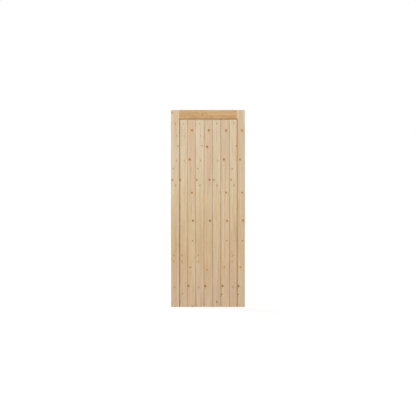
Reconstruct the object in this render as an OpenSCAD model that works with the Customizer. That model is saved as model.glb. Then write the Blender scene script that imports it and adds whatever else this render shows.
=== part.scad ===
// Framed, ledged and braced door leaf: two stiles and a top rail, with tongued and grooved boards
// in their rebates, and ledges and braces behind the boards. Millimetres.
// The front faces -Y, +Z is up, and the origin is at the middle of the bottom edge.

/* [Door] */
// Width over both stiles
door_w = 762; // [686:1:838]
// Height
door_h = 2032; // [1900:1:2150]
// Thickness of the frame
door_t = 44; // [40:0.5:54]

/* [Frame] */
// Width of each stile
stile_w = 95; // [85:1:120]
// Height of the top rail
top_rail_h = 108; // [90:1:140]
// How far the front rebate reaches in behind the boards' edges
rebate_w = 11; // [8:0.5:15]
// Bevel on the frame round the boarded opening, and on the boards' edges beside the stiles
frame_bevel = 10; // [2:0.5:12]
// Eased corner along each long edge
arris = 1; // [0.5:0.25:2]

/* [Boards] */
// Thickness of the boards, which lie flush with the front of the frame
board_t = 18; // [15:0.5:22]
// Width that one full board covers
board_cover = 87; // [80:1:95]
// How far the full boards lie off the middle of the door, to the lock side
board_shift = 1.5; // [-10:0.5:10]
// Bevel on the front edges where two boards meet
v_joint = 4; // [2:0.5:7]
// Thickness of the tongue
tongue_t = 5; // [4:0.5:6]
// Length of the tongue
tongue_l = 7; // [5:0.5:9]
// Bevel on the tongue's nose
tongue_nose = 1; // [0.5:0.25:1.5]
// Clearance on each side of the tongue
tongue_fit = 0.2; // [0.1:0.05:0.5]
// Space in the groove past the tongue's nose
groove_space = 1; // [0.5:0.25:2]
// Open joint between two boards
board_gap = 0.4; // [0.2:0.1:1]
// Open joint between the boards and the hinge stile
hinge_gap = 2; // [0.5:0.5:4]
// Open joint between the boards and the lock stile
lock_gap = 1; // [0.5:0.5:4]
// Open joint between the boards' tops and the top rail
top_gap = 2; // [1:0.5:5]

/* [Ledges and braces] */
// Height of the middle ledge
middle_ledge_h = 170; // [140:1:220]
// Underside of the middle ledge
middle_ledge_z = 880; // [750:1:1000]
// Height of the bottom ledge
bottom_ledge_h = 195; // [150:1:240]
// Width of each brace
brace_w = 95; // [70:1:120]

/* [Joints] */
// Thickness of the tenons
tenon_t = 14; // [10:0.5:18]
// Height of the haunch over the top rail's tenon
top_haunch = 36; // [25:1:50]
// Height of the haunch under the bottom ledge's tenons
bottom_haunch = 40; // [25:1:50]
// Depth of the haunches
haunch_d = 14; // [8:0.5:20]
// Thickness of a wedge at the stile's outer edge
wedge_t = 6; // [4:0.5:8]
// Thickness of a wedge at its driven end
wedge_tip = 1.5; // [1:0.25:3]
// Length of a wedge
wedge_l = 70; // [50:1:80]

/* [Nails] */
// Diameter of the shank
nail_d = 2.4; // [1.8:0.1:3.2]
// How far a nail goes into a board
nail_bite = 12; // [8:0.5:14]
// Length of the point
nail_point = 3; // [2:0.5:5]
// Diameter of the head
nail_head_d = 5.5; // [4:0.1:7]
// Thickness of the head
nail_head_t = 1; // [0.6:0.1:1.5]
// Clearance all round a nail
nail_fit = 0.05; // [0.05:0.05:0.2]
// Nails from the edges of a board
nail_edge = 22; // [15:1:26]
// Nails from the edges of a ledge
nail_inset = 42; // [25:1:60]

/* [Hidden] */
$fn = 48;
pine = [0.83, 0.73, 0.59];
heart_pine = [0.80, 0.65, 0.46];
steel = [0.62, 0.62, 0.60];

// Depths: the boards' backs, the ledges and the tenons all meet the plane at seat
front = -door_t / 2;
back = door_t / 2;
seat = front + board_t;

// Widths: the rebate ends at seam_x in front, and the stiles end at opening_x behind
half_w = door_w / 2;
opening_x = half_w - stile_w;
seam_x = opening_x + rebate_w;

// Heights: the top rail ends at seam_z in front and at rail_z behind
rail_z = door_h - top_rail_h;
seam_z = rail_z + rebate_w;
middle_ledge_top = middle_ledge_z + middle_ledge_h;

// Boards: full ones side by side in the middle, and the two at the stiles ripped to fit
full_boards = ceil((2 * seam_x - 2 * board_cover) / board_cover);
board_count = full_boards + 2;
board_h = seam_z - top_gap;
tongue_y = (front + v_joint + seat) / 2;
groove_d = tongue_l - board_gap + groove_space;

// Tenons as [low, high]: one on each end of the top rail, and a pair on each end of a ledge
top_tenons = [[rail_z, door_h - top_haunch]];
middle_tenons = tenon_pair(middle_ledge_z, middle_ledge_top);
bottom_tenons = tenon_pair(bottom_haunch, bottom_ledge_h);

// Nails, as [x, z] places on the back
nail_l = door_t - board_t + nail_bite;
middle_nail_zs = [middle_ledge_z + nail_inset, middle_ledge_top - nail_inset];
bottom_nail_zs = [nail_inset, bottom_ledge_h - nail_inset];
lower_span = [bottom_ledge_h, middle_ledge_z];
upper_span = [middle_ledge_top, rail_z];

// How far a cutting shape runs past the surface that it cuts
cut_over = 1;

// A pair of tenons takes the outer thirds of the height that it shares
function tenon_pair(low, high) =
    let (third = (high - low) / 3)
    [[low, low + third], [high - third, high]];

// The joint line to the left of full board number 2, and of each board after it
function joint_x(i) = board_shift + (i - 2 - full_boards / 2) * board_cover;

function board_left(i) = i == 1 ? hinge_gap - seam_x : joint_x(i) + board_gap / 2;

function board_right(i) = i == board_count ? seam_x - lock_gap : joint_x(i + 1) - board_gap / 2;

// Two nails hold each board to a ledge, one low and one high
function ledge_nails(i, zs) = [[board_left(i) + nail_edge, zs[0]], [board_right(i) - nail_edge, zs[1]]];

// One nail holds each board to a brace, on the brace's centre line
function brace_nail(i, span) =
    let (x = (board_left(i) + board_right(i)) / 2)
    [x, span[0] + (x + opening_x) / (2 * opening_x) * (span[1] - span[0])];

function all_ledge_nails(zs) = [for (i = [1 : board_count]) each ledge_nails(i, zs)];

function all_brace_nails(span) = [for (i = [1 : board_count]) brace_nail(i, span)];

function board_nails(i) = concat(
    ledge_nails(i, middle_nail_zs),
    ledge_nails(i, bottom_nail_zs),
    [brace_nail(i, lower_span), brace_nail(i, upper_span)]
);

// A shape at the hinge stile, repeated at the lock stile
module both_stiles() {
    children();
    mirror([1, 0, 0]) children();
}

// A section drawn as [depth, height], run along X for a length centred on the door
module along_x(length) {
    translate([-length / 2, 0, 0]) rotate([90, 0, 90]) linear_extrude(height = length) children();
}

// Tenons that end past the door's two edges by over, and the haunch that joins them from low to high
module tenons(pairs, low, high, over = 0) {
    tenon_x = half_w + over;
    for (pair = pairs)
        translate([-tenon_x, seat, pair[0]]) cube([2 * tenon_x, tenon_t, pair[1] - pair[0]]);
    haunch_x = opening_x + haunch_d;
    translate([-haunch_x, seat, low]) cube([2 * haunch_x, tenon_t, high - low]);
}

// A wedge at the hinge stile's outer edge: it lies on a tenon at height z, above it or below
module wedge(z, side, over) {
    taper = (wedge_t - wedge_tip) / wedge_l;
    translate([-half_w, seat + tenon_t, z]) rotate([90, 0, 0]) linear_extrude(height = tenon_t)
        polygon([
            [-over, 0], [-over, side * (wedge_t + over * taper)],
            [wedge_l, side * wedge_tip], [wedge_l, 0]
        ]);
}

module wedges(pairs, over = 0) {
    for (pair = pairs) {
        wedge(pair[0], -1, over);
        wedge(pair[1], 1, over);
    }
}

// What a stile loses to a rail or a ledge: the tenons, their haunch and their wedges
module mortices(pairs, low, high) {
    tenons(pairs, low, high, cut_over);
    wedges(pairs, cut_over);
}

// Everything that the bevel round the boarded opening takes off the frame
module opening_bevel() {
    reach = frame_bevel + cut_over;
    intersection() {
        translate([0, 0, -cut_over]) linear_extrude(height = door_h)
            polygon([
                [-seam_x - reach, front - cut_over], [seam_x + reach, front - cut_over],
                [seam_x, front + frame_bevel], [-seam_x, front + frame_bevel]
            ]);
        along_x(door_w)
            polygon([
                [front - cut_over, -cut_over], [front - cut_over, seam_z + reach],
                [front + frame_bevel, seam_z], [front + frame_bevel, -cut_over]
            ]);
    }
}

// The hinge stile: rebated for the boards, and morticed right through for the tenons and wedges
module stile() {
    difference() {
        linear_extrude(height = door_h)
            polygon([
                [-half_w, front + arris], [-half_w + arris, front], [-seam_x, front], [-seam_x, seat],
                [-opening_x, seat], [-opening_x, back - arris], [-opening_x - arris, back],
                [-half_w + arris, back], [-half_w, back - arris]
            ]);
        opening_bevel();
        mortices(top_tenons, rail_z, door_h + cut_over);
        mortices(middle_tenons, middle_ledge_z, middle_ledge_top);
        mortices(bottom_tenons, -cut_over, bottom_ledge_h);
    }
}

module hinge_stile() {
    color(pine) stile();
}

module lock_stile() {
    color(pine) mirror([1, 0, 0]) stile();
}

// The top rail's front reaches into the stiles' rebates, past its back, so its shoulders are long and short
module top_rail() {
    color(heart_pine) difference() {
        union() {
            along_x(2 * seam_x)
                polygon([[front, seam_z], [seat, seam_z], [seat, door_h], [front, door_h]]);
            along_x(2 * opening_x)
                polygon([
                    [seat, rail_z], [back - arris, rail_z], [back, rail_z + arris],
                    [back, door_h], [seat, door_h]
                ]);
            tenons(top_tenons, rail_z, door_h);
        }
        opening_bevel();
    }
}

// The section that the ledges and the braces share: flat on the boards, with eased corners behind
module ledge_section(low, high) {
    polygon([
        [seat, low], [back - arris, low], [back, low + arris],
        [back, high - arris], [back - arris, high], [seat, high]
    ]);
}

module ledge(low, high, pairs, nail_zs) {
    difference() {
        union() {
            along_x(2 * opening_x) ledge_section(low, high);
            tenons(pairs, low, high);
        }
        nail_holes(all_ledge_nails(nail_zs));
    }
}

module middle_ledge() {
    color(pine) ledge(middle_ledge_z, middle_ledge_top, middle_tenons, middle_nail_zs);
}

module bottom_ledge() {
    color(pine) ledge(0, bottom_ledge_h, bottom_tenons, bottom_nail_zs);
}

// A brace rises from the hinge stile to the lock stile, with each end cut to fill its corner
module brace(span) {
    rise = span[1] - span[0];
    run = 2 * opening_x;
    difference() {
        intersection() {
            translate([0, 0, (span[0] + span[1]) / 2]) rotate([0, -atan2(rise, run), 0])
                along_x(norm([rise, run]) + 2 * brace_w) ledge_section(-brace_w / 2, brace_w / 2);
            translate([-opening_x, seat, span[0]]) cube([run, back - seat, rise]);
        }
        nail_holes(all_brace_nails(span));
    }
}

module upper_brace() {
    color(pine) brace(upper_span);
}

module lower_brace() {
    color(pine) brace(lower_span);
}

// A board's front bevel: wider at an edge that was ripped to meet a stile
function edge_bevel(ripped) = ripped ? frame_bevel : v_joint;

// The left edge of a board's section, front to back: a groove, or plain where it was ripped
function left_edge(x, ripped) = concat(
    [[x + edge_bevel(ripped), front], [x, front + edge_bevel(ripped)]],
    ripped ? [] : let (half = tongue_t / 2 + tongue_fit) [
        [x, tongue_y - half], [x + groove_d, tongue_y - half],
        [x + groove_d, tongue_y + half], [x, tongue_y + half]
    ],
    [[x, seat]]
);

// The right edge of a board's section, back to front: a tongue, or plain where it was ripped
function right_edge(x, ripped) = concat(
    [[x, seat]],
    ripped ? [] : let (half = tongue_t / 2) [
        [x, tongue_y + half], [x + tongue_l - tongue_nose, tongue_y + half],
        [x + tongue_l, tongue_y + half - tongue_nose], [x + tongue_l, tongue_y - half + tongue_nose],
        [x + tongue_l - tongue_nose, tongue_y - half], [x, tongue_y - half]
    ],
    [[x, front + edge_bevel(ripped)], [x - edge_bevel(ripped), front]]
);

module board(i) {
    color(pine) difference() {
        linear_extrude(height = board_h)
            polygon(concat(left_edge(board_left(i), i == 1), right_edge(board_right(i), i == board_count)));
        nail_holes(board_nails(i));
    }
}

// A round nail with a flat head, driven from the back towards the front
module nail() {
    shank_r = nail_d / 2;
    head_r = nail_head_d / 2;
    rotate([90, 0, 0]) rotate_extrude()
        polygon([
            [0, 0], [head_r, 0], [head_r, nail_head_t], [shank_r, nail_head_t],
            [shank_r, nail_l - nail_point], [0, nail_l]
        ]);
}

module nails(places) {
    color(steel) for (place = places)
        translate([place.x, back, place.y]) nail();
}

// The holes that nails leave: the head lies flush with the back
module nail_holes(places) {
    for (place = places)
        translate([place.x, back, place.y]) rotate([90, 0, 0]) {
            cylinder(d = nail_d + 2 * nail_fit, h = nail_l + nail_fit);
            translate([0, 0, -cut_over])
                cylinder(d = nail_head_d + 2 * nail_fit, h = nail_head_t + cut_over);
        }
}

module wedge_set(pairs) {
    color(pine) both_stiles() wedges(pairs);
}

hinge_stile();
lock_stile();
top_rail();
middle_ledge();
bottom_ledge();
upper_brace();
lower_brace();
for (i = [1 : board_count])
    board(i);
wedge_set(top_tenons);  // top_rail_wedges
wedge_set(middle_tenons);  // middle_ledge_wedges
wedge_set(bottom_tenons);  // bottom_ledge_wedges
nails(all_ledge_nails(middle_nail_zs));  // middle_ledge_nails
nails(all_ledge_nails(bottom_nail_zs));  // bottom_ledge_nails
nails(all_brace_nails(upper_span));  // upper_brace_nails
nails(all_brace_nails(lower_span));  // lower_brace_nails
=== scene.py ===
# A framed, ledged and braced door leaf in planed, unfinished pine.
# Metres: the boarded front faces -Y, +Z is up, and the origin is at the middle of the bottom edge.

import collections
import math

import bmesh
import bpy
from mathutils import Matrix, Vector


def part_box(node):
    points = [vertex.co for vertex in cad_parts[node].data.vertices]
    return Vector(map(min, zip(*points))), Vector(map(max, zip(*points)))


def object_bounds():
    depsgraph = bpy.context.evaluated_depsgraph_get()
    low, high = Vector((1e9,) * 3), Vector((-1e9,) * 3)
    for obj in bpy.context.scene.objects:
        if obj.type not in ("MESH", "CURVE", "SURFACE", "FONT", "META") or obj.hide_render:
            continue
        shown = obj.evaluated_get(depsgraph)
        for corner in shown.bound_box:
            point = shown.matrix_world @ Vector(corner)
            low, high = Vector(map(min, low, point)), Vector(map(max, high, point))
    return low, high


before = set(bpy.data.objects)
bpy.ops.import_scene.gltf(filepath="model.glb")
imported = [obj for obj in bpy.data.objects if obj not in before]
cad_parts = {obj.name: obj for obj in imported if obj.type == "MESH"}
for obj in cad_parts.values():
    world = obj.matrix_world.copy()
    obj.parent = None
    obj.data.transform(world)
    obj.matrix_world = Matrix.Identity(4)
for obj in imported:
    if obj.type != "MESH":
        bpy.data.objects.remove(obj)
cad_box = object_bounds()


# Stiles
# Two upright lengths of planed pine, sawn along the trunk, rebated in front for the boards and
# morticed through for the tenons. The hinge stile is pale sapwood and the lock stile a warmer plank.

class Strand:
    """A value on its way through a material's nodes, with the operators that add Math nodes."""

    # How far one step of a seed shifts a pattern in each direction
    seed_shift = (3.1, 7.3, 1.7)

    def __init__(self, tree, socket=None):
        self.tree = tree
        self.socket = socket

    def node(self, kind, settings, sockets, output=0):
        """Adds a node of any kind: its settings first, then the values or links of its sockets."""
        made = self.tree.nodes.new(kind)
        for name, value in settings.items():
            if name == "stops":
                while len(made.color_ramp.elements) < len(value):
                    made.color_ramp.elements.new(1)
                for element, (position, colour) in zip(made.color_ramp.elements, value):
                    element.position = position
                    element.color = colour
            else:
                setattr(made, name, value)
        for name, value in sockets.items():
            if isinstance(value, Strand):
                self.tree.links.new(value.socket, made.inputs[name])
            else:
                made.inputs[name].default_value = value
        return Strand(self.tree, made.outputs[output])

    def also(self, output):
        """Another output of the same node."""
        return Strand(self.tree, self.socket.node.outputs[output])

    def feed(self, node, name):
        """Links this value to a socket of a node that is there already."""
        self.tree.links.new(self.socket, node.inputs[name])

    def maths(self, operation, *values):
        return self.node("ShaderNodeMath", {"operation": operation}, dict(enumerate(values)))

    def vectors(self, operation, *values, output=0):
        return self.node("ShaderNodeVectorMath", {"operation": operation}, dict(enumerate(values)), output)

    def __add__(self, other):
        return self.maths("ADD", self, other)

    def __radd__(self, other):
        return self.maths("ADD", other, self)

    def __sub__(self, other):
        return self.maths("SUBTRACT", self, other)

    def __rsub__(self, other):
        return self.maths("SUBTRACT", other, self)

    def __mul__(self, other):
        return self.maths("MULTIPLY", self, other)

    def __rmul__(self, other):
        return self.maths("MULTIPLY", other, self)

    def __truediv__(self, other):
        return self.maths("DIVIDE", self, other)

    def __rtruediv__(self, other):
        return self.maths("DIVIDE", other, self)

    def eased(self, start, end, low=0.0, high=1.0):
        """Goes from low to high, with soft ends, as this value goes from start to end."""
        return self.node(
            "ShaderNodeMapRange",
            {"interpolation_type": "SMOOTHSTEP"},
            {"Value": self, "From Min": start, "From Max": end, "To Min": low, "To Max": high},
        )

    def mixed(self, colour, share, blend="MIX"):
        """This colour, blended with another over a share of the surface."""
        return self.node(
            "ShaderNodeMix",
            {"data_type": "RGBA", "blend_type": blend},
            {"Factor": share, 6: self, 7: colour},
            2,
        )

    def cloudy(self, pattern, seed):
        """Cloudy noise about 0.5 at this place, in a pattern that the seed shifts."""
        shift = [(seed + pattern.step) * each for each in self.seed_shift]
        place = self.vectors("MULTIPLY_ADD", self, pattern.clouds, shift)
        sockets = {"Vector": place, "Scale": 1.0, "Detail": pattern.detail}
        return self.node("ShaderNodeTexNoise", {}, sockets, "Fac")


def seen(red, green, blue):
    """A colour as the eye has it, each part from 0 to 255, turned into light."""
    parts = [value / 255 for value in (red, green, blue)]
    return [part / 12.92 if part < 0.04 else ((part + 0.055) / 1.055) ** 2.4 for part in parts] + [1.0]


def grey(level):
    """A grey in light, from black at 0 to white at 1."""
    return (level, level, level, 1.0)


# A knot: its place across the piece and along it, its radius, how far it is drawn out along the
# grain, how strongly it is coloured, and its kind, by the colours of its heart and of the wood round it
Knot = collections.namedtuple("Knot", "across along radius drawn depth kind")
Kind = collections.namedtuple("Kind", "heart halo")
AMBER = Kind(seen(130, 84, 24), seen(216, 168, 102))
BROWN = Kind(seen(116, 90, 42), seen(210, 172, 112))
GREY_BROWN = Kind(seen(134, 102, 68), seen(206, 173, 134))
ORANGE = Kind(seen(172, 128, 68), seen(210, 168, 108))
RED_BROWN = Kind(seen(142, 92, 58), seen(208, 168, 128))
KNOT_RIM = seen(96, 66, 36)

# Timber by its colours: the early and late wood of a year's ring, the flush of the heartwood, and
# the tint that deepens it towards its lower end
Timber = collections.namedtuple("Timber", "early late flush foot")
PALE_PINE = Timber(
    seen(227, 207, 178), seen(194, 168, 133), seen(218, 194, 160), (0.905, 0.845, 0.83, 1.0))
WARM_PINE = Timber(
    seen(223, 201, 172), seen(189, 159, 126), seen(214, 184, 151), (0.965, 0.925, 0.89, 1.0))

# Tints that multiply the colour of the wood: its golden and rosy bands, its resin canals, its end
# grain, which drinks in light, and the painted shade on its bevels and in its seams
GOLD_TINT = (1.0, 0.975, 0.84, 1.0)
ROSE_TINT = (1.025, 0.966, 0.925, 1.0)
RESIN_TINT = (0.86, 0.78, 0.66, 1.0)
END_GRAIN_TINT = seen(206, 186, 158)
PAINTED_SHADE_TINT = (0.76, 0.74, 0.68, 1.0)

# A pattern: its clouds a metre across a piece, through it and along it, how much finer detail they
# hold, and the step of the seed that sets it apart from the other patterns
Pattern = collections.namedtuple("Pattern", "clouds detail step")
KNOT_EDGE = Pattern((70, 25, 70), 1.0, 0)
RING_RIPPLE = Pattern((24, 24, 1.3), 2.0, 1)
PITH_WANDER = Pattern((0.0, 0.0, 1.1), 1.0, 2)
PITH_SWAY = Pattern((0.0, 0.0, 1.4), 1.0, 3)
STREAK = Pattern((75, 75, 0.9), 3.0, 4)
PATCH = Pattern((9, 9, 1.1), 2.0, 5)
FIBRE = Pattern((1300, 1300, 22), 2.0, 6)
GOLD_BAND = Pattern((55, 55, 0.6), 1.0, 7)
CANAL = Pattern((700, 700, 26), 0.0, 8)
MOTTLE = Pattern((62, 62, 5.0), 2.0, 9)
ROSE_BAND = Pattern((46, 46, 1.8), 1.0, 10)

# A point of a piece in the piece's own axes, whole and by its parts: across the piece, through it and
# along the grain
Spot = collections.namedtuple("Spot", "place across through along")


def spot_of(wood, middle, turn):
    """The point that is coloured, in axes that start at a middle and are turned about Y."""
    point = wood.node("ShaderNodeTexCoord", {}, {}, "Object")
    place = wood.node(
        "ShaderNodeMapping",
        {"vector_type": "TEXTURE"},
        {"Vector": point, "Location": middle, "Rotation": (0.0, turn, 0.0)},
    )
    across = wood.node("ShaderNodeSeparateXYZ", {}, {0: place})
    return Spot(place, across, across.also("Y"), across.also("Z"))


# What a knot does at a point of the wood: how far it swells the rings there, and how far out the point
# lies in radii of the knot, both for the knot itself and for its halo
Mark = collections.namedtuple("Mark", "knot swell outline halo")
# Where the rings start to swell round a knot, where they swell most, and how far, in its radii
swell_band = (2.6, 0.4)
swell_height = 0.6
# What a length along the grain counts for in the swell and in the stain, which draws both out
grain_flow = 0.34
# How far down the grain from a knot its stain is centred, and how uneven its edge is, in its radii
stain_drop = 1.4
uneven_edge = 0.9


def reach(face, knot, squeeze, drop=0.0):
    """How far a point is from a knot, or from a point down the grain, with lengths along it squeezed."""
    squeezed = face.vectors("MULTIPLY", face, (1.0, squeeze, 0.0))
    centre = (knot.across, (knot.along - drop) * squeeze, 0.0)
    return squeezed.vectors("DISTANCE", squeezed, centre, output="Value")


def marks_of(spot, knots, seed):
    """The marks of the knots, which run straight through the piece."""
    face = spot.place.node("ShaderNodeCombineXYZ", {}, {"X": spot.across, "Y": spot.along})
    wobble = (spot.place.cloudy(KNOT_EDGE, seed) - 0.5) * uneven_edge
    marks = []
    for knot in knots:
        squeeze = grain_flow / knot.drawn
        start, full = [share * knot.radius for share in swell_band]
        swell = reach(face, knot, squeeze).eased(start, full, high=swell_height * knot.radius)
        stain = reach(face, knot, squeeze, stain_drop * knot.radius)
        edge = reach(face, knot, 1.0 / knot.drawn)
        outline = edge / knot.radius + wobble
        halo = (edge + stain) / (2.0 * knot.radius) + wobble
        marks.append(Mark(knot, swell, outline, halo))
    return marks


# Width of a year's ring, how far rings ripple, and how far the pith wanders on its way up the trunk
year_width = 0.0032
ripple_depth = 0.007
pith_play = 0.07
# Good and bad years: their clouds a metre of radius, and how many ring widths they shift a ring
year_clouds = 75.0
year_shift = 2.6
# How dark a ring is through its year: early wood darkens slowly into late wood, which ends sharply
year_stops = [(0.0, grey(0.0)), (0.45, grey(0.14)), (0.86, grey(1.0)), (1.0, grey(0.0))]


def year_rings(spot, pith, marks, seed):
    """Year rings about the pith: the good and bad years, and the late wood of each year."""
    shift = (spot.place.cloudy(RING_RIPPLE, seed) - 0.5) * ripple_depth
    for mark in marks:
        shift = shift + mark.swell
    wander = (spot.place.cloudy(PITH_WANDER, seed) - 0.5) * pith_play
    sway = (spot.place.cloudy(PITH_SWAY, seed) - 0.5) * pith_play
    from_side = spot.across - pith[0] + wander
    from_front = spot.through - pith[1] + sway
    radius = shift.maths("SQRT", from_side * from_side + from_front * from_front) + shift
    growth = radius.node(
        "ShaderNodeTexNoise",
        {"noise_dimensions": "1D"},
        {"W": radius + seed, "Scale": year_clouds, "Detail": 1.0},
        "Fac",
    )
    year = radius.maths("FRACT", radius / year_width + growth * year_shift)
    late = radius.node("ShaderNodeValToRGB", {"stops": year_stops}, {"Fac": year})
    return growth, late


# Heights up an upright piece where its colour starts to deepen and where it is deepest, and those
# between which its golden waist fades in, from above and from below. A level piece and a brace have
# them along the grain from their own middles.
foot_band = (1.45, 0.40)
waist_above = (1.55, 1.05)
waist_below = (0.05, 0.50)
# Levels of its clouds between which a patch brings out the rings, and how far, and those between
# which it flushes, and how far
ring_levels = (0.3, 0.7)
ring_shares = (0.45, 0.85)
flush_levels = (0.42, 0.72)
flush_share = 0.55
# Levels of their clouds between which the golden and rosy bands and the resin canals come out
gold_levels = (0.40, 0.62)
rose_levels = (0.42, 0.64)
canal_levels = (0.70, 0.78)
# How strong the golden and rosy bands are, and how golden the waist is between its bands
gold_share = 0.35
rose_share = 0.8
waist_share = 0.30
# How far streaks, mottling and fibres go to light and dark, and what that does to red, green and blue
streak_share = 0.42
mottle_share = 0.38
fibre_share = 0.16
tone_range = (0.70, 1.05, 1.45)
tone_level = (0.998, 1.008, 1.018)


def clear_wood(spot, timber, late, fibre, seed):
    """The colour of the wood between its knots."""
    # Rings, and broad patches where the heartwood shows
    patch = spot.place.cloudy(PATCH, seed)
    late_share = late * patch.eased(*ring_levels, *ring_shares)
    colour = patch.node(
        "ShaderNodeMix",
        {"data_type": "RGBA"},
        {"Factor": late_share, 6: timber.early, 7: timber.late},
        2,
    )
    colour = colour.mixed(timber.flush, patch.eased(*flush_levels, high=flush_share))

    # A deeper foot, a golden waist, and golden and rosy bands
    colour = colour.mixed(timber.foot, spot.along.eased(*foot_band), "MULTIPLY")
    gold = gold_share * spot.place.cloudy(GOLD_BAND, seed).eased(*gold_levels)
    waist = spot.along.eased(*waist_above) * spot.along.eased(*waist_below)
    colour = colour.mixed(GOLD_TINT, gold + waist * (waist_share + gold), "MULTIPLY")
    rose = rose_share * spot.place.cloudy(ROSE_BAND, seed).eased(*rose_levels)
    colour = colour.mixed(ROSE_TINT, rose, "MULTIPLY")

    # Long streaks, mottling and fibres, which change blue the most, and resin canals
    streak = (spot.place.cloudy(STREAK, seed) - 0.5) * streak_share
    mottle = (spot.place.cloudy(MOTTLE, seed) - 0.5) * mottle_share
    tone = streak + mottle + (fibre - 0.5) * fibre_share
    shade = tone.vectors("MULTIPLY_ADD", tone, tone_range, tone_level)
    colour = colour.vectors("MULTIPLY", colour, shade)
    canal = spot.place.cloudy(CANAL, seed).eased(*canal_levels)
    return colour.mixed(RESIN_TINT, canal, "MULTIPLY")


# Where the halo and the heart of a knot start and where they are full, in its radii, and the bands
# over which its dark rim fades in, from outside and from inside
halo_band = (2.1, 0.7)
heart_band = (1.08, 0.72)
rim_outside = (1.12, 0.98)
rim_inside = (0.80, 0.94)
# How strong the halo, the heart, its rings and the rim are, and how many rings a knot's radius has
halo_share = 0.72
heart_share = 0.78
ring_share = 0.44
rim_share = 0.5
knot_rings = 3.0


def knotted(colour, marks, growth):
    """The colour with the knots in it, and where the wood is as hard as a knot."""
    hardness = 0.0
    for mark in marks:
        knot = mark.knot
        colour = colour.mixed(knot.kind.halo, mark.halo.eased(*halo_band, high=halo_share * knot.depth))
        heart = mark.outline.eased(*heart_band, high=knot.depth)
        rings = colour.maths("PINGPONG", mark.outline * knot_rings + growth, 0.5)
        colour = colour.mixed(knot.kind.heart, heart * (heart_share + ring_share * rings))
        rim = mark.outline.eased(*rim_outside) * mark.outline.eased(*rim_inside)
        colour = colour.mixed(KNOT_RIM, rim * (rim_share * knot.depth ** 2))
        hardness = colour.maths("MAXIMUM", hardness, heart)
    return colour, hardness


# Painted shade on the bevels in front that face the hinge side, on those that face the lock side, and at
# the bottom of the seams beside the stiles. Behind, the first two change places.
PaintedShade = collections.namedtuple("PaintedShade", "hinge_side lock_side settled")
edge_painted_shade = 0.175
EVEN_PAINTED_SHADE = PaintedShade(edge_painted_shade, edge_painted_shade, 0.0)
# How deep the bevels beside the stiles go, and where the seam between them has its bottom
frame_bevel = 0.010
seam_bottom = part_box("hinge_stile")[0].y + frame_bevel
# How far from the bottom of a seam the painted shade starts, and how far from it the shade is darkest
seam_shade_band = (0.007, 0.001)
# How squarely a face cuts the grain where end grain starts to show and where it shows in full
end_grain_band = (0.6, 0.95)
# Slopes that start to count as a bevel, and that count in full, towards each side
hinge_slope = (0.2, 0.45)
lock_slope = (-0.2, -0.45)


def end_grain_and_painted_shade(colour, spot, turn, painted_shade):
    """The colour with darker, deeper end grain, and with painted shade on the bevels and at the bottoms of
    the seams.
    """
    normal = colour.node("ShaderNodeTexCoord", {}, {}, "Normal")
    grain = (math.sin(turn), 0.0, math.cos(turn))
    facing = normal.vectors("DOT_PRODUCT", normal, grain, output="Value")
    end_grain = facing.maths("ABSOLUTE", facing).eased(*end_grain_band)
    colour = colour.mixed(END_GRAIN_TINT, end_grain, "MULTIPLY")
    # The normal of a bevel leans in X and in Y, and the product of the two tells its side
    sideways = normal.node("ShaderNodeSeparateXYZ", {}, {0: normal})
    slope = sideways * sideways.also("Y")
    depth = slope.maths("ABSOLUTE", spot.through - seam_bottom)
    settled = depth.eased(*seam_shade_band, high=painted_shade.settled)
    hinge_side = slope.eased(*hinge_slope) * (painted_shade.hinge_side + settled)
    lock_side = slope.eased(*lock_slope) * (painted_shade.lock_side + settled)
    # Painted shade: a grey tint darkens each bevel by the side it faces, and the bottom of each seam, as
    # shadow would
    return colour.mixed(PAINTED_SHADE_TINT, hinge_side + lock_side, "MULTIPLY")


# How proud late wood, fibres and knots stand, as shares of the relief, and its depth and strength
late_height = 0.5
fibre_height = 0.5
knot_height = 0.4
relief_depth = 0.0002
relief_strength = 0.35
# How rough the planed wood is, how much smoother late wood and knots are, how far fibres change it,
# and how much the bare wood reflects
plain_roughness = 0.62
late_smoothness = 0.06
knot_smoothness = 0.14
fibre_roughness = 0.1
bare_gloss = 0.3


def planed(name, timber, middle, turn, pith, knots, seed, painted_shade=EVEN_PAINTED_SHADE):
    """Planed pine, the same all the way through, with its grain turned from upright about Y. The pith
    and the knots are measured from the middle given, and the seed sets a piece apart from the others."""
    material = bpy.data.materials.new(name)
    material.use_nodes = True
    wood = Strand(material.node_tree)
    spot = spot_of(wood, middle, turn)
    marks = marks_of(spot, knots, seed)
    growth, late = year_rings(spot, pith, marks, seed)
    fibre = spot.place.cloudy(FIBRE, seed)
    colour = clear_wood(spot, timber, late, fibre, seed)
    colour, hardness = knotted(colour, marks, growth)
    # Darker end grain, and painted shade on the bevels and at the bottoms of the seams
    colour = end_grain_and_painted_shade(colour, spot, turn, painted_shade)

    # Late wood, fibres and knots stand a little proud, and hard wood is smoother
    height = late * late_height + fibre * fibre_height + hardness * knot_height
    relief = wood.node(
        "ShaderNodeBump",
        {},
        {"Strength": relief_strength, "Distance": relief_depth, "Height": height},
    )
    smoothed = plain_roughness - late * late_smoothness - hardness * knot_smoothness
    roughness = smoothed + (fibre - 0.5) * fibre_roughness
    finish = material.node_tree.nodes["Principled BSDF"]
    colour.feed(finish, "Base Color")
    roughness.feed(finish, "Roughness")
    relief.feed(finish, "Normal")
    finish.inputs["Specular IOR Level"].default_value = bare_gloss
    return material


def dress(node, material):
    """Gives a piece of the frame its finish."""
    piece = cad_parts[node]
    piece.data.materials.clear()
    piece.data.materials.append(material)


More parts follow.
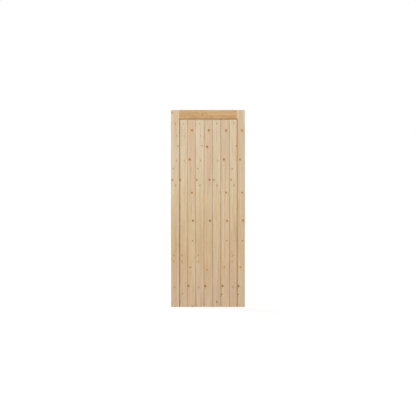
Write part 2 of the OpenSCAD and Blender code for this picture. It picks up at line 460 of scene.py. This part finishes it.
# Knots that the pale timber shows, after the marks of the pieces where each one shows: L for the
# hinge stile, and the numbers of boards
pale_knots = [
    ("L57", Knot(0.004, 1.892, 0.0042, 3.0, 0.62, GREY_BROWN)),
    ("13", Knot(0.003, 1.890, 0.0042, 3.0, 0.44, GREY_BROWN)),
    ("L13", Knot(0.013, 1.765, 0.0042, 1.5, 0.62, GREY_BROWN)),
    ("L37", Knot(0.027, 1.662, 0.0050, 1.4, 0.88, GREY_BROWN)),
    ("L135", Knot(0.013, 1.510, 0.0042, 2.3, 0.68, GREY_BROWN)),
    ("L3", Knot(-0.017, 1.427, 0.006, 1.0, 0.70, BROWN)),
    ("7", Knot(-0.014, 1.427, 0.006, 1.0, 0.70, BROWN)),
    ("L1", Knot(-0.029, 1.312, 0.009, 1.1, 0.80, GREY_BROWN)),
    ("357", Knot(-0.028, 1.312, 0.0088, 1.1, 0.66, GREY_BROWN)),
    ("L357", Knot(0.005, 1.254, 0.0053, 2.1, 0.74, GREY_BROWN)),
    ("L13", Knot(-0.011, 0.533, 0.0074, 1.2, 0.62, ORANGE)),
    ("7", Knot(-0.010, 0.532, 0.0066, 1.2, 0.50, GREY_BROWN)),
    ("L13", Knot(-0.012, 0.469, 0.0076, 1.2, 0.66, ORANGE)),
    ("7", Knot(-0.013, 0.466, 0.0066, 1.2, 0.48, GREY_BROWN)),
    ("L37", Knot(-0.007, 0.206, 0.007, 1.0, 0.72, RED_BROWN)),
    ("1", Knot(-0.006, 0.138, 0.0076, 1.0, 0.68, GREY_BROWN)),
    ("5", Knot(0.003, 0.053, 0.0074, 1.0, 0.92, GREY_BROWN)),
    ("L", Knot(-0.031, 2.005, 0.009, 1.0, 0.58, BROWN)),
]
# Knots that the warmer timber shows: R is for the lock stile
warm_knots = [
    ("246R", Knot(0.010, 1.822, 0.0108, 1.0, 0.80, AMBER)),
    ("4", Knot(-0.009, 1.652, 0.0087, 1.2, 0.95, AMBER)),
    ("26", Knot(-0.012, 1.521, 0.0093, 1.1, 1.0, AMBER)),
    ("R", Knot(-0.010, 1.521, 0.0086, 1.1, 0.92, AMBER)),
    ("4", Knot(0.015, 1.311, 0.0096, 1.0, 0.86, AMBER)),
    ("26R", Knot(0.011, 1.180, 0.0076, 1.0, 0.97, AMBER)),
    ("246R", Knot(0.020, 0.890, 0.0092, 1.1, 0.92, AMBER)),
    ("26R", Knot(0.017, 0.684, 0.0064, 1.0, 0.88, RED_BROWN)),
    ("26R", Knot(-0.007, 0.411, 0.009, 1.0, 0.72, ORANGE)),
    ("4", Knot(-0.012, 0.383, 0.008, 1.0, 0.80, ORANGE)),
    ("246R", Knot(-0.027, 0.217, 0.0105, 1.0, 0.91, BROWN)),
    ("6", Knot(-0.036, 0.130, 0.008, 1.0, 0.75, BROWN)),
    ("R", Knot(-0.029, 0.130, 0.0076, 1.0, 0.66, BROWN)),
    ("2", Knot(0.015, 0.009, 0.0072, 1.0, 0.85, BROWN)),
]


def knots_of(mark, knots):
    """The knots that show on the piece with this mark."""
    return [knot for marks, knot in knots if mark in marks]


# The grain of a stile is measured from a line up its face, this far in from its outer edge
hinge_line = 0.042
lock_line = 0.040
# Painted shade at the bottom of the seam beside each stile. At the lock stile it lies on the stile's side
# alone.
hinge_seam_painted_shade = 0.60
lock_seam_painted_shade = 0.30
hinge_middle = (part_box("hinge_stile")[0].x + hinge_line, 0.0, 0.0)
lock_middle = (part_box("lock_stile")[1].x - lock_line, 0.0, 0.0)
UPRIGHT = 0.0
dress("hinge_stile", planed(
    "hinge_stile_pine", PALE_PINE, hinge_middle, UPRIGHT, pith=(0.066, 0.085),
    knots=knots_of("L", pale_knots), seed=6.0, painted_shade=PaintedShade(edge_painted_shade, 0.0, hinge_seam_painted_shade)))
dress("lock_stile", planed(
    "lock_stile_pine", WARM_PINE, lock_middle, UPRIGHT, pith=(-0.080, 0.070),
    knots=knots_of("R", warm_knots), seed=14.0, painted_shade=PaintedShade(0.0, edge_painted_shade, lock_seam_painted_shade)))


# Top rail
# One length of golden heartwood between the stiles, tenoned through both and rebated below for the
# boards. Its grain runs across the door.

def level_middle(node):
    """The middle of a level piece: half way across the door and half way up the piece."""
    low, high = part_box(node)
    return (0.0, 0.0, (low.z + high.z) / 2)


GOLDEN_PINE = Timber(seen(213, 179, 134), seen(185, 141, 90), seen(207, 161, 105), grey(1.0))
LEVEL = math.pi / 2
rail_knots = [Knot(-0.005, -0.057, 0.011, 1.1, 0.62, ORANGE)]
dress("top_rail", planed(
    "top_rail_pine", GOLDEN_PINE, level_middle("top_rail"), LEVEL, pith=(0.02, 0.12),
    knots=rail_knots, seed=23.0))


# Ledges
# Two broad rails behind the boards, at hand height and along the bottom, each tenoned in pairs
# through the stiles. They are planed from the same pine as the boards.

middle_knots = [
    Knot(-0.031, -0.170, 0.010, 1.1, 0.85, BROWN),
    Knot(0.042, 0.118, 0.008, 1.2, 0.70, BROWN),
    Knot(-0.012, 0.232, 0.006, 1.0, 0.60, ORANGE),
]
bottom_knots = [
    Knot(0.034, -0.214, 0.009, 1.0, 0.80, BROWN),
    Knot(-0.052, -0.020, 0.007, 1.3, 0.55, ORANGE),
    Knot(0.015, 0.176, 0.011, 1.0, 0.85, BROWN),
]
dress("middle_ledge", planed(
    "middle_ledge_pine", WARM_PINE, level_middle("middle_ledge"), LEVEL, pith=(0.03, -0.10),
    knots=middle_knots, seed=34.0))
dress("bottom_ledge", planed(
    "bottom_ledge_pine", PALE_PINE, level_middle("bottom_ledge"), LEVEL, pith=(-0.04, -0.12),
    knots=bottom_knots, seed=45.0))


# Wedges
# Slips of the same pine, driven from the outer edges of the stiles above and below each tenon,
# then sawn off flush. Only their end grain shows.

door_origin = (0.0, 0.0, 0.0)
first_wedge_seed = 51.0
for order, rail in enumerate(["top_rail", "middle_ledge", "bottom_ledge"]):
    dress(rail + "_wedges", planed(
        rail + "_wedge_pine", WARM_PINE, door_origin, LEVEL, pith=(0.05, 0.09), knots=[],
        seed=first_wedge_seed + order))


# Boards
# Tongued and grooved boards with a V along each front edge, slid together in the rebates of the
# frame. Pale and warm boards take turns across the door.

# The grain of a board is measured from a line near its middle. These lines are evenly spaced on both
# sides of the middle board's, apart from the first board's.
line_pitch = 0.088
first_line = -0.2585
middle_board = 4
pale_pith = (0.064, 0.080)
warm_pith = (-0.078, 0.065)
# A seed for each board, from the hinge stile to the lock stile
board_seeds = (189.0, 82.0, 93.0, 104.0, 230.0, 244.0, 249.0)
# The painted shade in each seam, from one stile to the other: the outer two have theirs at the bottom
# alone
seams_painted_shade = (0.0, 0.25, 0.12, 0.45, 0.38, 0.90, 0.42, 0.0)
for number, seed in enumerate(board_seeds, 1):
    name = f"board_{number}"
    line = first_line if number == 1 else (number - middle_board) * line_pitch
    pale = number % 2 == 1
    timber = PALE_PINE if pale else WARM_PINE
    knots = knots_of(str(number), pale_knots if pale else warm_knots)
    pith = pale_pith if pale else warm_pith
    settled = hinge_seam_painted_shade if number == 1 else 0.0
    painted_shade = PaintedShade(seams_painted_shade[number - 1], seams_painted_shade[number], settled)
    dress(name, planed(name + "_pine", timber, (line, 0.0, 0.0), UPRIGHT, pith, knots, seed, painted_shade))


# Braces
# Two diagonals behind the boards, rising from the hinge side and cut to fill their corners, so
# that they carry the free edge of the door. Their grain follows their length.

brace_knots = [
    Knot(0.016, -0.262, 0.009, 1.1, 0.80, BROWN),
    Knot(-0.024, 0.055, 0.007, 1.2, 0.60, ORANGE),
    Knot(0.008, 0.301, 0.010, 1.0, 0.85, BROWN),
]
braces = [("upper_brace", PALE_PINE, 150.0), ("lower_brace", WARM_PINE, 159.0)]
for name, timber, seed in braces:
    low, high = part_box(name)
    lean = math.atan2(high.x - low.x, high.z - low.z)
    dress(name, planed(
        name + "_pine", timber, (low + high) / 2, lean, pith=(0.02, -0.09), knots=brace_knots, seed=seed))


# Nails
# Round wire nails with flat heads, driven through the ledges and braces into each board. Only the
# heads show, flush with the back: bright drawn steel that has dulled a little.

DULLING = Pattern((420, 420, 420), 3.0, 0)
BRIGHT_STEEL = seen(158, 154, 146)
DULL_STEEL = seen(112, 105, 96)
nail_seed = 3.0
# Levels of its clouds between which the steel dulls and roughens, and how rough it is bright and dull
dull_levels = (0.35, 0.7)
rough_levels = (0.3, 0.7)
steel_roughness = (0.40, 0.62)
steel = bpy.data.materials.new("nail_steel")
steel.use_nodes = True
wire = Strand(steel.node_tree)
dulling = wire.node("ShaderNodeTexCoord", {}, {}, "Object").cloudy(DULLING, nail_seed)
steel_colour = wire.node(
    "ShaderNodeMix",
    {"data_type": "RGBA"},
    {"Factor": dulling.eased(*dull_levels), 6: BRIGHT_STEEL, 7: DULL_STEEL},
    2,
)
steel_finish = steel.node_tree.nodes["Principled BSDF"]
steel_colour.feed(steel_finish, "Base Color")
dulling.eased(*rough_levels, *steel_roughness).feed(steel_finish, "Roughness")
steel_finish.inputs["Metallic"].default_value = 1.0
for held in ["middle_ledge", "bottom_ledge", "upper_brace", "lower_brace"]:
    dress(held + "_nails", steel)


# Floor
# A plain pale floor that runs out of sight. It shows white to the camera and to reflections, and
# keeps a faint shadow of the door.

# From the middle of the floor to its sides
floor_reach = 40.0
floor_shape = bmesh.new()
bmesh.ops.create_grid(floor_shape, x_segments=1, y_segments=1, size=floor_reach)
floor_mesh = bpy.data.meshes.new("floor")
floor_shape.to_mesh(floor_mesh)
floor_shape.free()
floor = bpy.data.objects.new("floor", floor_mesh)
bpy.context.scene.collection.objects.link(floor)


def looked_at(strand):
    """1 for rays from the camera, and for those that a reflection or glass sends on."""
    path = strand.node("ShaderNodeLightPath", {}, {}, "Is Camera Ray")
    mirrored = strand.maths("MAXIMUM", path.also("Is Glossy Ray"), path.also("Is Transmission Ray"))
    return strand.maths("MAXIMUM", path, mirrored)


# The floor that lights the door is plain grey. The floor that is seen glows, over a darker grey that
# takes a faint shadow.
floor_grey = grey(0.75)
shadow_grey = grey(0.3)
floor_glow = 0.8
floor_paint = bpy.data.materials.new("floor_paint")
floor_paint.use_nodes = True
ground = Strand(floor_paint.node_tree)
matt = ground.node("ShaderNodeBsdfDiffuse", {}, {"Color": floor_grey})
shaded = ground.node("ShaderNodeBsdfDiffuse", {}, {"Color": shadow_grey})
glow = ground.node("ShaderNodeEmission", {}, {"Strength": floor_glow})
shown = ground.node("ShaderNodeAddShader", {}, {0: shaded, 1: glow})
floor_finish = ground.node("ShaderNodeMixShader", {}, {0: looked_at(ground), 1: matt, 2: shown})
floor_finish.feed(floor_paint.node_tree.nodes["Material Output"], "Surface")
floor_mesh.materials.append(floor_paint)


# Studio light
# Even light from all round, a broad lamp from the right and above in front, and a weaker one behind.
# The sky shows white to the camera and to reflections.

sky_strength = 0.36
sky = bpy.data.worlds.new("studio")
bpy.context.scene.world = sky
sky.use_nodes = True
air = Strand(sky.node_tree)
even = air.node("ShaderNodeBackground", {}, {"Color": grey(1.0), "Strength": sky_strength})
white = air.node("ShaderNodeBackground", {}, {"Color": grey(1.0), "Strength": 1.0})
sky_light = air.node("ShaderNodeMixShader", {}, {0: looked_at(air), 1: even, 2: white})
sky_light.feed(sky.node_tree.nodes["World Output"], "Surface")

lamp_breadth = math.radians(50)


def lamp(name, towards, strength):
    """A broad lamp, far off in the direction given."""
    light = bpy.data.lights.new(name, "SUN")
    light.energy = strength
    light.angle = lamp_breadth
    hung = bpy.data.objects.new(name, light)
    hung.rotation_euler = Vector(towards).to_track_quat("Z", "Y").to_euler()
    bpy.context.scene.collection.objects.link(hung)


lamp("front_lamp", towards=(0.66, -0.72, 0.22), strength=2.46)
lamp("back_lamp", towards=(-0.50, 0.75, 0.45), strength=1.9)


# Camera
# Straight on to the boarded front, from far enough away that the edges of the door don't show.
# The door stands in the middle of a square picture, as high as it does in the photograph.

# In pixels: the side of the picture, the height of the door, and how far its middle is below the picture's
picture_pixels = 416
door_pixels = 197.04
door_below_middle = 0.49
# The lens and the sensor in millimetres, and how far the camera sees
lens = 135.0
sensor = 36.0
sight = 200.0
door_low, door_high = cad_box
door_middle = (door_low.z + door_high.z) / 2
pixel = (door_high.z - door_low.z) / door_pixels
distance = pixel * picture_pixels * lens / sensor
view = bpy.data.cameras.new("camera")
view.lens = lens
view.sensor_width = sensor
view.clip_end = sight
camera = bpy.data.objects.new("camera", view)
camera.location = (0.0, door_low.y - distance, door_middle + door_below_middle * pixel)
camera.rotation_euler = (math.pi / 2, 0.0, 0.0)
bpy.context.scene.collection.objects.link(camera)
bpy.context.scene.camera = camera
bpy.context.scene.view_settings.view_transform = "Standard"
